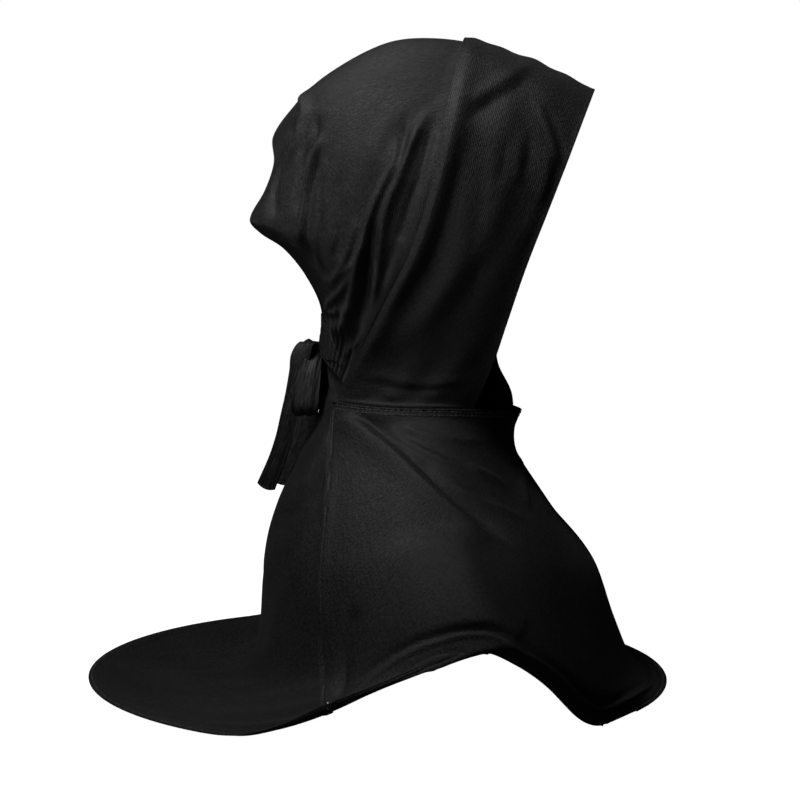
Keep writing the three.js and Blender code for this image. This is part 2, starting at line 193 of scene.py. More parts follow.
def jersey_finish(name, shade, grain, fuzz):
    """Black jersey: shade is its colour, grain the depth of its knit in mm, fuzz the strength of its
    sheen."""
    f = Finish(name)
    flat = f.node("ShaderNodeUVMap", {"uv_map": "cloth"})
    wide = f.node("ShaderNodeMapping", {}, {"Vector": flat, "Scale": (1, 0.5, 1)})
    across = f.node("ShaderNodeSeparateXYZ", {}, {0: flat})
    wander = f.node("ShaderNodeTexNoise", {}, {"Vector": wide, "Scale": 170, "Detail": 2})
    wales = (across * (2 * np.pi / WALE) + wander * 9).wave()
    yarn = f.node("ShaderNodeTexNoise", {}, {"Vector": wide, "Scale": 860, "Detail": 2, "Roughness": 0.7})
    patch = f.node("ShaderNodeTexNoise", {}, {"Vector": flat, "Scale": 26, "Detail": 3})
    streak = f.node("ShaderNodeTexNoise", {}, {"Vector": wide, "Scale": 420, "Detail": 2})
    tone = 0.5 + 6.5 * (yarn - 0.5) + 2.0 * (streak - 0.5) + 0.8 * (patch - 0.5)
    dark, light = (0.1 * shade,) * 3 + (1,), (1.9 * shade,) * 3 + (1,)
    colour = f.node("ShaderNodeMix", {"data_type": "RGBA"}, {0: tone, 6: dark, 7: light}, out=2)
    height = wales * 0.2 + yarn * 1.6 + streak * 0.8
    bump = f.node("ShaderNodeBump", {}, {"Height": height, "Strength": 0.5, "Distance": grain * MM})
    f.set(f.shader.inputs["Base Color"], colour)
    f.set(f.shader.inputs["Normal"], bump)
    f.set(f.shader.inputs["Roughness"], ROUGH + 0.2 * (patch - 0.5))
    f.set(f.shader.inputs["Specular IOR Level"], SHINE)
    f.set(f.shader.inputs["Sheen Weight"], fuzz)
    f.set(f.shader.inputs["Sheen Roughness"], 0.45)
    return f.material


jersey = jersey_finish("jersey", 0.005, 0.6, 0.03)
tie_cloth = jersey_finish("tie_cloth", 0.005, 0.4, 0.03)
# The stitch thread is six times lighter than the jersey: a painted highlight, so that the stitches show as
# bright dashes on the black cloth.
thread_painted_highlight = jersey_finish("thread", 0.03, 0.1, 0.1)
print("finishes", [m.name for m in (jersey, tie_cloth, thread_painted_highlight)])

# %% [markdown]
# ## Sheets worked out with numpy
#
# Every panel is a surface: a function of two parameters that gives points in millimetres, with the
# cloth's outside as its face. Sculpting by hand could give such a shape too, but it couldn't follow a
# changed size. The named sizes are those of the solids, so a panel lies where its solid does.

# %% Sizes in millimetres
HOOD_DEPTH, CROWN_DROP, HEAD_HALF_WIDTH = 239, 246, 77
COLLAR_DEPTH, COLLAR_HALF_WIDTH, COLLAR_SHIFT = 140, 62, -5
FLOOR_DROP, HEM_LENGTH, HEM_SHIFT, HEM_HALF_WIDTH = 441, 408, -36, 150
HEM_RISE, BACK_LIFT = 61, 4
WALL, GAP, TUCK, FOOT_RISE, SWELL = 1.4, 0.4, 7, 2, 4
COLLAR_AT, LAP, GATHER_AT = 0.97, 0.06, 0.91
UNDER = 5  # back panel under the front one at the side seam
HEM_WIDTH, HEM_ROWS = 11, (2.4,)  # turned hem of the cape and the row of stitches near its edge


# %% Small helpers on whole arrays
def curve(stops, values, x, flat_start=False):
    """Smooth curve through the values: between two stops a cubic whose end slopes are those of the
    neighbours."""
    xs = np.asarray(stops, float)
    ys = np.asarray(values, float)
    first = 0 if flat_start else (ys[1] - ys[0]) / (xs[1] - xs[0])
    last = (ys[-1] - ys[-2]) / (xs[-1] - xs[-2])
    slope = np.concatenate([[first], (ys[2:] - ys[:-2]) / (xs[2:] - xs[:-2]), [last]])
    x = np.clip(x, xs[0], xs[-1])
    i = np.clip(np.searchsorted(xs, x, side="right") - 1, 0, len(xs) - 2)
    h = xs[i + 1] - xs[i]
    s = (x - xs[i]) / h
    ends = (2 * s**3 - 3 * s**2 + 1) * ys[i] + (3 * s**2 - 2 * s**3) * ys[i + 1]
    return ends + (s**3 - 2 * s**2 + s) * h * slope[i] + (s**3 - s**2) * h * slope[i + 1]


def ease(x, start, end):
    """0 before start, 1 after end, and a smooth step between."""
    t = np.clip((x - start) / (end - start), 0, 1)
    return t * t * (3 - 2 * t)


def point(x, y, z):
    return np.stack(np.broadcast_arrays(x, y, z), -1)


def unit(v):
    return v / np.maximum(np.linalg.norm(v, axis=-1, keepdims=True), 1e-12)


def normals(surface, a, b, step=0.004):
    """Outward normal: the slope along a crossed with the slope along b."""
    along = surface(a + step, b) - surface(a - step, b)
    return unit(np.cross(along, surface(a, b + step) - surface(a, b - step)))


def ripple(u, v, seed, size, long_u, long_v):
    """Seven waves with random turns and phases, whose crests are about long_u by long_v mm apart."""
    dice = np.random.default_rng(seed)
    total = 0
    for _ in range(7):
        turn = dice.uniform(0, 2 * np.pi, 2)
        pace = dice.uniform(0.6, 1.5, 2)
        phase = u * pace[0] / long_u + np.cos(turn[0]) * v * pace[1] / long_v
        total = total + np.sin(2 * np.pi * phase + turn[1])
    return size * total / 2.6


# %% [markdown]
# ## The shape of the hood
#
# Two ribs carry the face panel: one along the ridge, where the bag is sewn on, and one along the face
# edge. Each is a short table from the crown down one side to the collar. The panel runs between them and
# swells a little in the middle. The left side of the face edge comes further round to the front of the
# neck. A loft through whole sections would need many more numbers than these two edges do.

# %% Tables of the ribs and of the back line
# Ribs: place from crown to collar, then shares of the hood's depth forward, of its drop, and of its half
# width. Back line: place from crown to nape, then shares of the hood's depth and drop.
RIDGE_RIB = np.array([
    [0.00, 0.100, -0.003, 0.000], [0.10, 0.090, 0.016, 0.377], [0.20, 0.071, 0.077, 0.701],
    [0.33, 0.033, 0.228, 0.948], [0.46, -0.004, 0.398, 1.006], [0.60, -0.054, 0.561, 0.987],
    [0.73, -0.119, 0.687, 0.909], [0.83, -0.165, 0.780, 0.792], [0.92, -0.213, 0.882, 0.649]])
FACE_RIB = np.array([
    [0.00, 0.471, 0.134, 0.000], [0.10, 0.450, 0.163, 0.364], [0.20, 0.414, 0.232, 0.662],
    [0.33, 0.360, 0.358, 0.844], [0.46, 0.310, 0.480, 0.903], [0.60, 0.257, 0.614, 0.896],
    [0.73, 0.218, 0.736, 0.857], [0.83, 0.192, 0.829, 0.818], [0.92, 0.159, 0.915, 0.766]])
FACE_RIB_LEFT = np.vstack([FACE_RIB[:7], [[0.83, 0.196, 0.835, 0.818], [0.92, 0.255, 0.927, 0.649]]])
RIDGE_ANGLE, FACE_ANGLE, FACE_ANGLE_LEFT = np.radians([149, 60.5, 16])
BACK_LINE = np.array([
    [0.10, -0.021, -0.002], [0.20, -0.142, 0.015], [0.33, -0.297, 0.096], [0.42, -0.389, 0.177],
    [0.50, -0.450, 0.260], [0.56, -0.448, 0.333], [0.62, -0.475, 0.411], [0.70, -0.519, 0.490],
    [0.74, -0.490, 0.526], [0.80, -0.423, 0.569], [0.87, -0.360, 0.642], [0.93, -0.318, 0.715],
    [0.97, -0.310, 0.780], [1.00, -0.322, 0.862]])


# %% Collar, face panel and bag
def collar(angle, inset=0.0, lower=0.0):
    """The seam between hood and cape: an ellipse seen from above, a little lower in front."""
    c = np.cos(angle)
    down = CROWN_DROP * (1 + c * c * np.where(c > 0, 0.024, -0.012))
    inward = inset + 0.5 * np.maximum(lower, 0)
    return point(COLLAR_SHIFT + (COLLAR_DEPTH / 2 - inward) * c, (COLLAR_HALF_WIDTH - inward) * np.sin(angle),
                 -down - lower)


def rib(rows, angle, t):
    """A rib at t, from the crown (0) to the collar: its table, ended by its own foot inside the collar."""
    foot = collar(angle, WALL + GAP, -FOOT_RISE)
    end = [COLLAR_AT, foot[0] / HOOD_DEPTH, -foot[2] / CROWN_DROP, foot[1] / HEAD_HALF_WIDTH]
    rows = np.vstack([rows, end])
    forward, down, out = (curve(rows[:, 0], rows[:, i], t, i < 3) for i in (1, 2, 3))
    return point(HOOD_DEPTH * forward, HEAD_HALF_WIDTH * out, -CROWN_DROP * down)


def face(a, b):
    """a from the ridge (0) to the face edge (1), b from the right foot (-1) over the crown to the left one
    (1). A straight line joins the two ribs, swells in the middle, and runs out into the foot in the
    collar."""
    a, b = np.broadcast_arrays(np.asarray(a, float), np.asarray(b, float))
    left = (b > 0)[..., None]
    t = np.minimum(np.abs(b), COLLAR_AT)
    k = ((t / COLLAR_AT) ** 6)[..., None]
    g = np.sign(a) * np.abs(a) ** (1 + 0.9 * t**3)
    lower = -FOOT_RISE + (TUCK + FOOT_RISE) * np.maximum(np.abs(b) - COLLAR_AT, 0) / (1 - COLLAR_AT)
    end = np.where(left[..., 0], FACE_ANGLE_LEFT, FACE_ANGLE)
    foot = collar(RIDGE_ANGLE + (end - RIDGE_ANGLE) * g, WALL + GAP, lower)
    edge = np.where(left, rib(FACE_RIB_LEFT, FACE_ANGLE_LEFT, t), rib(FACE_RIB, FACE_ANGLE, t))
    start = rib(RIDGE_RIB, RIDGE_ANGLE, t)
    p = start + (edge - start) * g[..., None]
    p = p + (foot - p) * k
    lean = np.clip(p[..., 1] / HEAD_HALF_WIDTH, 0, 1)
    swell = SWELL * np.sin(np.pi * np.clip(g, 0, 1)) * (1 - k[..., 0])
    y = np.where(left[..., 0], 1, -1) * (p[..., 1] + swell * lean)
    return point(p[..., 0], y, p[..., 2] + swell * np.sqrt(1 - lean**2))


def bag(a, b):
    """a from the right ridge (-1) round the back (0) to the left one (1), b from the crown (0) to the nape
    (1). Each row is a quarter wave on each side, from the back line out to the edge under the ridge."""
    a, b = np.broadcast_arrays(np.asarray(a, float), np.asarray(b, float))
    side = np.where(a < 0, -1, 1)
    b = np.clip(b, 0, 1)
    t = b * GATHER_AT
    under = WALL + 2 * GAP
    edge = face(LAP, side * np.maximum(t, 1e-4)) - under * normals(face, LAP, side * np.maximum(t, 0.01))
    pole = face(LAP, 0.0) - np.array([0, 0, under])
    x = curve(np.append(0, BACK_LINE[:, 0]), np.append(pole[0], BACK_LINE[:, 1] * HOOD_DEPTH), b)
    even = np.delete(BACK_LINE, [4, 6], 0)
    smooth = curve(np.append(0, even[:, 0]), np.append(pole[0], even[:, 1] * HOOD_DEPTH), b)
    x = smooth + (x - smooth) * np.exp(-(a / 0.14) ** 2)
    z = curve(np.append(0, BACK_LINE[:, 0]), np.append(pole[2], -BACK_LINE[:, 2] * CROWN_DROP), b)
    w = 1 - np.cos(a * np.pi / 2)
    out = np.abs(edge[..., 1]) * np.sin(a * np.pi / 2)
    return point(x + (edge[..., 0] - x) * w, out, z + (edge[..., 2] - z) * w)


print("middle of the nape in mm:", bag(0.0, 1.0).round(1))

# %% [markdown]
# ## The shape of the cape
#
# The cape is a family of rings from the collar to the hem. One table says how far each ring has come on
# its way out and down, at the front, at the side and at the back. The hem lifts over each shoulder by a
# second table, and the side seam, where front and back panels meet, wanders round the ring by a third.
# Rings suit it better than a cone with dents, because the cape is as straight at the neck as it is flat
# at the hem.

# %% Tables and rings of the cape
# Rings: place from collar to hem, then the shares out and down in front, at the side and at the back.
# Lift: degrees from the front, share of the full rise. Seam: place from collar to hem, degrees from the
# front.
CAPE_RINGS = np.array([
    [0.00, 0.000, 0.000, 0.000, 0.000, 0.000, 0.000], [0.06, -0.049, 0.074, 0.034, 0.075, 0.024, 0.073],
    [0.14, -0.019, 0.176, 0.160, 0.179, 0.091, 0.197], [0.27, 0.214, 0.362, 0.405, 0.388, 0.194, 0.383],
    [0.42, 0.485, 0.553, 0.680, 0.627, 0.252, 0.596], [0.55, 0.641, 0.750, 0.865, 0.799, 0.267, 0.788],
    [0.66, 0.767, 0.904, 0.955, 0.903, 0.321, 0.938], [0.74, 0.854, 0.957, 0.989, 0.948, 0.461, 0.990],
    [1.00, 1.000, 1.000, 1.000, 1.000, 1.000, 1.000]])
HEM_LIFT = np.array([
    [0, 0], [46, 0], [52, 0.12], [60, 0.54], [66, 0.78], [72, 0.93], [80, 0.86], [90, 0.62],
    [98, 0.42], [106, 0.18], [114, 0.03], [122, 0], [180, 0]])
SIDE_SEAM = np.array([
    [0.00, 150.0], [0.05, 146.7], [0.10, 139.4], [0.20, 129.7], [0.30, 126.6], [0.50, 127.6],
    [0.60, 127.3], [0.70, 121.0], [0.80, 111.5], [0.90, 104.0], [1.00, 98.4]])


def cape(a, b):
    """a from the collar (0) to the hem (1), b the plan angle from the front, with the right side negative.
    Each ring is an ellipse between a front, a side and a back place, lifted over the shoulders near the
    hem."""
    a, b = np.broadcast_arrays(np.asarray(a, float), np.asarray(b, float))
    t = np.clip(a, 0, 1)
    c = np.cos(b)
    columns = (curve(CAPE_RINGS[:, 0], CAPE_RINGS[:, i], t) for i in range(1, 7))
    out_f, down_f, out_s, down_s, out_b, down_b = columns
    front = COLLAR_SHIFT + COLLAR_DEPTH / 2
    front = front + (HEM_SHIFT + HEM_LENGTH / 2 - front) * out_f
    back = COLLAR_SHIFT - COLLAR_DEPTH / 2
    back = back + (HEM_SHIFT - HEM_LENGTH / 2 - back) * out_b
    out = COLLAR_HALF_WIDTH + (HEM_HALF_WIDTH - COLLAR_HALF_WIDTH) * out_s
    low = FLOOR_DROP - 1
    low_back = low - BACK_LIFT
    side = CROWN_DROP + (low - HEM_RISE - CROWN_DROP) * down_s
    top_front, top_back = CROWN_DROP * 1.024, CROWN_DROP * 0.988
    end = np.where(c > 0, top_front + (low - top_front) * down_f, top_back + (low_back - top_back) * down_b)
    lift = np.clip(curve(HEM_LIFT[:, 0], HEM_LIFT[:, 1], np.degrees(np.abs(b))), 0, 1)
    hem = low_back + (low - low_back) * (1 + c) / 2 - HEM_RISE * lift
    down = side + (end - side) * c * c
    down = down + (hem - down) * ease(t, 0.42, 1)
    return point((front + back) / 2 + (front - back) / 2 * c, out * np.sin(b), -down)


def seam(a):
    return np.radians(curve(SIDE_SEAM[:, 0], SIDE_SEAM[:, 1], a))


def cape_front_sheet(a, b):
    """b from the right side seam (-1) to the left one (1)."""
    return cape(a, b * seam(a))


def stand_top(b):
    """Upper end of the neck stand, just inside the rim of the bag."""
    return bag(b, 0.985) - (WALL + 2.5 * GAP) * normals(bag, np.clip(b, -0.99, 0.99), 0.985)


def cape_back_sheet(a, b):
    """b from the left side seam (-1) to the right one (1); a above 0 is the cape, below 0 a stand up the
    neck."""
    a, b = np.broadcast_arrays(np.asarray(a, float), np.asarray(b, float))
    width = COLLAR_HALF_WIDTH + (HEM_HALF_WIDTH - COLLAR_HALF_WIDTH) * np.clip(a, 0, 1)
    side_turn = np.pi - seam(np.clip(a, 0, 1)) + UNDER / width
    angle = np.pi + b * side_turn
    below = cape(a, np.where(angle > np.pi, angle - 2 * np.pi, angle))
    step = np.clip(-a / 0.12, 0, 1)
    ring = collar(angle, 3 * WALL * step, -(WALL + 4 * GAP) * step)
    up = np.clip(-a, 0, 1)[..., None]
    return np.where(a[..., None] >= 0, below, ring + (stand_top(-b) - ring) * up)


print("hem in mm, in front and behind:", cape(1.0, 0.0).round(1), cape(1.0, np.pi).round(1))

# %% [markdown]
# ## Folds drawn as lines
#
# A fold in thin cloth is a line with a height and a width on each side, because one flank of a fold is
# always steeper than the other. A cloth simulation makes folds too, but lets them fall where it likes,
# and this garment has its own. Each row of a fold table gives the height in mm, the two widths in mm, and
# the places that the line passes through on its panel. Negative heights are valleys.

# %% Folds from a table
def fold_line(surface, places, count=20):
    """The line through the places, as points in space on the plain surface."""
    places = np.array(places, float)
    t = np.linspace(0, len(places) - 1, count)
    a, b = (curve(np.arange(len(places)), places[:, i], t) for i in (0, 1))
    return surface(a, b)


def fold_height(grid, normal, line, height, before, after, tail):
    """Height that one fold adds: a bell in the distance from its line, with one width on each side, fading
    to nothing over the first and last part of the line, whose share is tail."""
    reach = 3 * max(before, after)
    near = np.all((grid > line.min(0) - reach) & (grid < line.max(0) + reach), axis=-1)
    added = np.zeros(grid.shape[:-1])
    spots = grid[near]
    if not len(spots):
        return added
    step = np.diff(line, axis=0)
    toward = spots[:, None] - line[:-1]
    share = np.clip((toward * step).sum(-1) / (step * step).sum(-1), 0, 1)
    off = toward - share[..., None] * step
    far = np.linalg.norm(off, axis=-1)
    k = far.argmin(-1)
    row = np.arange(len(k))
    side = (np.cross(step[k], off[row, k]) * normal[near]).sum(-1)
    along = (k + share[row, k]) / len(step)
    width = np.where(side > 0, before, after)
    power = 1.5 if height < 0 else 2.0
    fade = ease(along, 0, tail) * ease(1 - along, 0, max(tail, 0.2))
    added[near] = height * np.exp(-(far[row, k] / width) ** power) * fade
    return added


def fold_sum(surface, grid, normal, table, mirror, seed, tail=0.2):
    """All folds of a table, drawn on the right side and, a little changed, on the left."""
    dice = np.random.default_rng(seed)
    total = 0
    for height, before, after, places in table:
        places = np.array(places, float)
        right, left = places * mirror, places + dice.normal(0, 0.012, 2)
        share = dice.uniform(0.5, 1.0)
        total = total + fold_height(grid, normal, fold_line(surface, right), height, before, after, tail)
        line = fold_line(surface, left)
        total = total + fold_height(grid, normal, line, share * height, after, before, tail)
    return total


# %% [markdown]
# ## From a grid of points to a closed sheet
#
# Cloth has a thickness, and its cut or turned edge is round. A Solidify modifier gives a wall with a
# square rim. Here the sheet gets two skins, one wall apart. Close to each edge the two come together
# along a half circle and share the last row of points, so the sheet is one closed body.

# %% Grids and closed sheets
def spread(start, stop, count, turn):
    """Even steps from start to stop, with four more inside turn of each end, closer and closer to the
    edge."""
    close = turn * (1 - np.cos(np.linspace(0, np.pi / 2, 5)))
    even = np.linspace(start + turn, stop - turn, count)
    return np.unique(np.concatenate([start + close, even, stop - close]))


def run_lengths(grid):
    """Distance along the cloth, in mm, down each column and along each row."""
    down = np.linalg.norm(np.diff(grid, axis=0), axis=2)
    along = np.linalg.norm(np.diff(grid, axis=1), axis=2)
    return (np.vstack([np.zeros((1, grid.shape[1])), np.cumsum(down, 0)]),
            np.hstack([np.zeros((grid.shape[0], 1)), np.cumsum(along, 1)]))


def grid_normals(grid):
    """Outward normals of a grid, from the slopes between its neighbouring points."""
    return unit(np.cross(np.gradient(grid, axis=0), np.gradient(grid, axis=1)))


def edge_distance(grid):
    """Distance along the cloth, in mm, to the nearest of its four edges."""
    down, along = run_lengths(grid)
    return np.minimum(np.minimum(down, down[-1] - down), np.minimum(along, along[:, -1:] - along))


def close_sheet(name, grid, wall, finish, grain=0.0, top=None):
    """Two skins of a grid. The outer one is the grid itself and the inner one lies a wall further in;
    within half a wall of an edge, both fall to the middle as a half circle. grain turns the knit, in
    degrees. A first row that is one point is a pole: top gives its normal, and both skins close there on
    their own."""
    normal = grid_normals(grid)
    if top is not None:
        normal[0] = top
    wall = np.broadcast_to(wall, grid.shape[:2])
    turn = np.clip(edge_distance(grid) / (wall / 2), 0, 1)
    if top is not None:
        turn[:4] = 1
    full = np.sqrt(1 - (1 - turn) ** 2)
    outer = grid - normal * (wall / 2 * (1 - full))[..., None]
    inner = grid - normal * (wall / 2 * (1 + full))[..., None]
    m, n = grid.shape[:2]
    out_index = np.arange(m * n).reshape(m, n)
    in_index = out_index + m * n
    in_index[-1], in_index[:, 0], in_index[:, -1] = out_index[-1], out_index[:, 0], out_index[:, -1]
    if top is None:
        in_index[0] = out_index[0]
    quads = [out_index[:-1, :-1], out_index[1:, :-1], out_index[1:, 1:], out_index[:-1, 1:]]
    backs = [in_index[:-1, :-1], in_index[:-1, 1:], in_index[1:, 1:], in_index[1:, :-1]]
    faces = np.concatenate([np.stack(quads, -1).reshape(-1, 4), np.stack(backs, -1).reshape(-1, 4)])
    points = np.concatenate([outer.reshape(-1, 3), inner.reshape(-1, 3)])
    down, along = run_lengths(grid)
    c, s = np.cos(np.radians(grain)), np.sin(np.radians(grain))
    flat = np.stack([along * c + down * s, down * c - along * s], -1).reshape(-1, 2)
    flat = np.concatenate([flat, flat])
    return make_mesh(name, points, faces, flat, finish)


def make_mesh(name, points, faces, flat, finish):
    """A mesh object from points in mm and quads. Points in one place are merged and empty faces left
    out."""
    keys = np.round(points * 5000).astype(np.int64)
    _, first, index = np.unique(keys, axis=0, return_index=True, return_inverse=True)
    index = index.reshape(-1)
    faces = index[faces]
    good = (np.diff(np.sort(faces, 1), axis=1) > 0).sum(1) >= 2
    faces, points, flat = faces[good], points[first], flat[first]
    kept = []
    whole = (np.diff(np.sort(faces, 1), axis=1) > 0).sum(1) == 3
    kept.extend(faces[whole].tolist())
    for quad in faces[~whole].tolist():
        corners = [v for i, v in enumerate(quad) if v != quad[i - 1]]
        if len(set(corners)) == 3 and len(corners) == 3:
            kept.append(corners)
    mesh = bpy.data.meshes.new(name)
    mesh.from_pydata((points * MM).tolist(), [], kept)
    layer = mesh.uv_layers.new(name="cloth")
    loops = np.empty(len(mesh.loops), np.int32)
    mesh.loops.foreach_get("vertex_index", loops)
    layer.data.foreach_set("uv", (flat[loops] * MM).ravel())
    mesh.polygons.foreach_set("use_smooth", np.ones(len(mesh.polygons), bool))
    mesh.materials.append(finish)
    mesh.update()
    piece = bpy.data.objects.new(name, mesh)
    bpy.context.collection.objects.link(piece)
    skin = np.empty(len(mesh.polygons))
    mesh.polygons.foreach_get("area", skin)
    print(name, "faces", len(mesh.polygons), "cloth in square metres", round(skin.sum() / 2, 4))
    return piece


def raised(grid, height):
    """The grid moved out along its normals by the height, in mm."""
    return grid + grid_normals(grid) * np.asarray(height)[..., None]


# %% [markdown]
# ## Hems and stitches
#
# The hem of the cape is turned up once and sewn. It shows as a slightly thicker band with a soft lip
# where it ends, and one row of stitches near the edge. Two more rows run below the collar seam. A stitch
# drawn by a bump alone vanishes in black cloth, so each one is a short rod of thread, kept to a few faces
# since there are hundreds.

# %% Hems and rows of stitches
def hem(distance, width, thick=1.0):
    """Height of a turned-up hem: thick as far in as width mm, where it ends in a low lip with a dip behind
    it, and sunk a little under each row of stitches."""
    band = thick * (1 - ease(distance, width - 0.8, width + 0.8))
    lip = 0.8 * np.exp(-((distance - width + 1.5) / 1.3) ** 2)
    lip = lip - 0.6 * np.exp(-((distance - width - 2.5) / 2) ** 2)
    rows = sum(np.exp(-((distance - row) / 0.7) ** 2) for row in HEM_ROWS)
    return band + lip - 0.5 * rows


def from_hem(grid, reach=40):
    """Shortest distance in mm of each point of a grid from the line of its last row, looked for among the
    pieces of that line up to reach columns away."""
    line, column = grid[-1], np.arange(grid.shape[1])
    near = np.full(grid.shape[:2], np.inf)
    for k in range(-reach, reach + 1):
        start = np.clip(column + k, 0, len(line) - 2)
        step = line[start + 1] - line[start]
        toward = grid - line[start]
        share = np.clip((toward * step).sum(-1) / np.maximum((step * step).sum(-1), 1e-9), 0, 1)
        near = np.minimum(near, np.linalg.norm(toward - share[..., None] * step, axis=-1))
    return near


def beside(grid, lengths, distance):
    """The line on a grid where the lengths, which fall down each column, reach the distance, and its
    normals. Between two rows the place is found by shares."""
    k = (lengths > distance).sum(0).clip(1, len(grid) - 1)
    column = np.arange(grid.shape[1])
    before, after = lengths[k - 1, column], lengths[k, column]
    share = ((before - distance) / np.maximum(before - after, 1e-6)).clip(0, 1)[:, None]
    normal = grid_normals(grid)
    line = grid[k - 1, column] * (1 - share) + grid[k, column] * share
    return line, unit(normal[k - 1, column] * (1 - share) + normal[k, column] * share)


def stitch_row(line, normal, pitch, length, thick):
    """Short rods of thread laid along a line: eight-sided, four rings long, half sunk into the cloth."""
    step = np.linalg.norm(np.diff(line, axis=0), axis=1)
    run = np.concatenate([[0], np.cumsum(step)])
    at = np.arange(pitch, run[-1] - pitch, pitch)
    spot, ahead, up = (np.stack([np.interp(where, run, part[:, i]) for i in range(3)], -1)
                       for where, part in ((at, line), (at + 0.5, line), (at, normal)))
    along = unit(ahead - spot)
    up = unit(up - (up * along).sum(-1, keepdims=True) * along)
    side = np.cross(along, up)
    s, ring = np.meshgrid(np.array([-1, -0.7, 0.7, 1]), np.arange(8) * np.pi / 4, indexing="ij")
    swell = thick * np.array([0.25, 1, 1, 0.25])[:, None]
    local = np.stack([s * length / 2, np.cos(ring) * swell, np.sin(ring) * swell], -1).reshape(-1, 3)
    points = spot[:, None] + local[:, :1] * along[:, None]
    points = points + local[:, 1:2] * side[:, None] + local[:, 2:] * up[:, None]
    index = np.arange(32).reshape(4, 8)
    turned = np.roll(index, -1, axis=1)
    quads = np.stack([index[:-1], turned[:-1], turned[1:], index[1:]], -1).reshape(-1, 4)
    near_cap = np.array([[0, 7, 6, 5], [0, 5, 4, 3], [0, 3, 2, 1]])
    far_cap = 24 + np.array([[0, 1, 2, 3], [0, 3, 4, 5], [0, 5, 6, 7]])
    faces = np.concatenate([quads, near_cap, far_cap])
    faces = (faces[None] + 32 * np.arange(len(at))[:, None, None]).reshape(-1, 4)
    return points.reshape(-1, 3), faces


def make_stitches(name, rows, pitch=2.9, length=2.0, thick=0.38):
    """All rows of stitches of one panel as one piece. Each row is a line with its normals."""
    points, faces, start = [], [], 0
    for line, normal in rows:
        more, quads = stitch_row(line, normal, pitch, length, thick)
        points.append(more)
        faces.append(quads + start)
        start = start + len(more)
    points, faces = np.concatenate(points), np.concatenate(faces)
    return make_mesh(name, points, faces, points[:, :2], thread_painted_highlight)


# %% [markdown]
# ## The face panel
#
# This panel runs over the crown from collar to collar and frames the opening. Its front edge is turned in
# and shows as a thin rim. Its ridge edge laps over the bag and is rolled, so it shows as a soft bright
# line. The roll could be a tube of its own, but as a bell-shaped height on the same sheet it melts into
# the cloth on both sides. The folds are drawn on the right side and repeated, a little changed, on the
# left.

# %% Folds of the face panel
# Height, width before and after the line, and places from the ridge to the face edge and from the crown
# down.
FACE_FOLDS = [
    (-2.0, 9, 7, [(0.2, 0.34), (0.205, 0.394), (0.23, 0.454), (0.26, 0.518), (0.285, 0.582),
                  (0.29, 0.642), (0.27, 0.694), (0.235, 0.748), (0.205, 0.792)]),
    (-1.6, 7, 6, [(0.63, 0.008), (0.51, 0.206), (0.38, 0.268), (0.24, 0.318), (0.185, 0.356)]),
    (1.8, 5, 5, [(0.56, 0.098), (0.39, 0.216), (0.255, 0.274), (0.2, 0.31)]),
    (0.9, 2.5, 2.5, [(0.595, 0.236), (0.715, 0.262), (0.82, 0.298), (0.91, 0.332), (0.955, 0.356)]),
    (-0.9, 3.5, 3.5, [(0.685, 0.23), (0.8, 0.262), (0.91, 0.302), (0.975, 0.332)]),
    (-0.8, 4, 4, [(0.51, 0.334), (0.555, 0.398), (0.585, 0.448)]),
    (0.8, 4, 4, [(0.6, 0.312), (0.66, 0.38), (0.715, 0.436)]),
    (-0.8, 4, 4, [(0.66, 0.294), (0.72, 0.362), (0.735, 0.416)]),
    (0.9, 4, 5, [(0.805, 0.31), (0.88, 0.358), (0.91, 0.414), (0.925, 0.462)]),
    (-0.4, 5, 5, [(0.84, 0.422), (0.85, 0.48), (0.84, 0.518)]),
    (-0.7, 7, 6, [(0.375, 0.382), (0.47, 0.456), (0.54, 0.538), (0.6, 0.622)]),
    (0.5, 5, 5, [(0.46, 0.366), (0.49, 0.438), (0.54, 0.486)]),
    (1.5, 9, 9, [(0.34, 0.482), (0.46, 0.558), (0.515, 0.642), (0.48, 0.716), (0.405, 0.798),
                  (0.325, 0.836)]),
    (-0.5, 6, 6, [(0.66, 0.584), (0.71, 0.652), (0.755, 0.72)]),
    (-0.55, 1.8, 1.8, [(0.13, 0.894), (0.42, 0.894), (0.625, 0.904), (0.765, 0.904),
                  (0.875, 0.888), (0.99, 0.87)]),
    (0.6, 3.5, 4, [(0.205, 0.876), (0.51, 0.88), (0.685, 0.888), (0.85, 0.88), (0.98, 0.856)]),
    (0.5, 2, 2, [(0.53, 0.92), (0.645, 0.934), (0.73, 0.94)]),
]

# %% Make the face panel
def roll_height(t):
    """Height of the rolled ridge at t from the crown: low on top, full halfway down and low again at the
    collar."""
    return 3.8 * (0.4 + 0.6 * ease(t, 0.05, 0.55)) * (1 - 0.8 * ease(t, 0.75, 0.93))


face_b = spread(-1, 1, 330, 0.0015)
face_a = spread(0, 1, 104, 0.008)
A, B = np.meshgrid(face_a, face_b, indexing="ij")
plain = face(A, B)
down, along = run_lengths(plain)
to_hem = down[-1] - down
height = fold_sum(lambda a, b: face(a, b), plain, grid_normals(plain), FACE_FOLDS, (1, -1), 11, 0.3)
height = height + ripple(down, along, 3, 0.35, 30, 160)
height = height * ease(down, 2, 9) * ease(to_hem, 0, 9) * ease(1 - np.abs(B), 0.03, 0.08)
roll = roll_height(np.abs(B)) * np.exp(-((down - 7.5) / np.where(down < 7.5, 5.0, 8.0)) ** 2)
turned = 0.5 * np.exp(-(to_hem / 2.2) ** 2)
face_grid = raised(plain, height + roll + turned)
face_panel = close_sheet("face_panel_cloth", face_grid, 1.1, jersey, grain=90)
print("face panel, mm across and over the crown:", down[-1].mean().round(), along[:, -1].mean().round())

# %% [markdown]
# ## The bag of the hood
#
# The bag starts under the ridge, hangs out at the back, and is drawn in by the tie. Its folds run down
# from the ridge and meet at the nape, where the cloth is gathered into many small pleats. The large folds
# are drawn one by one, because each has its own course, and the pleats are two waves round the rim,
# because they repeat.

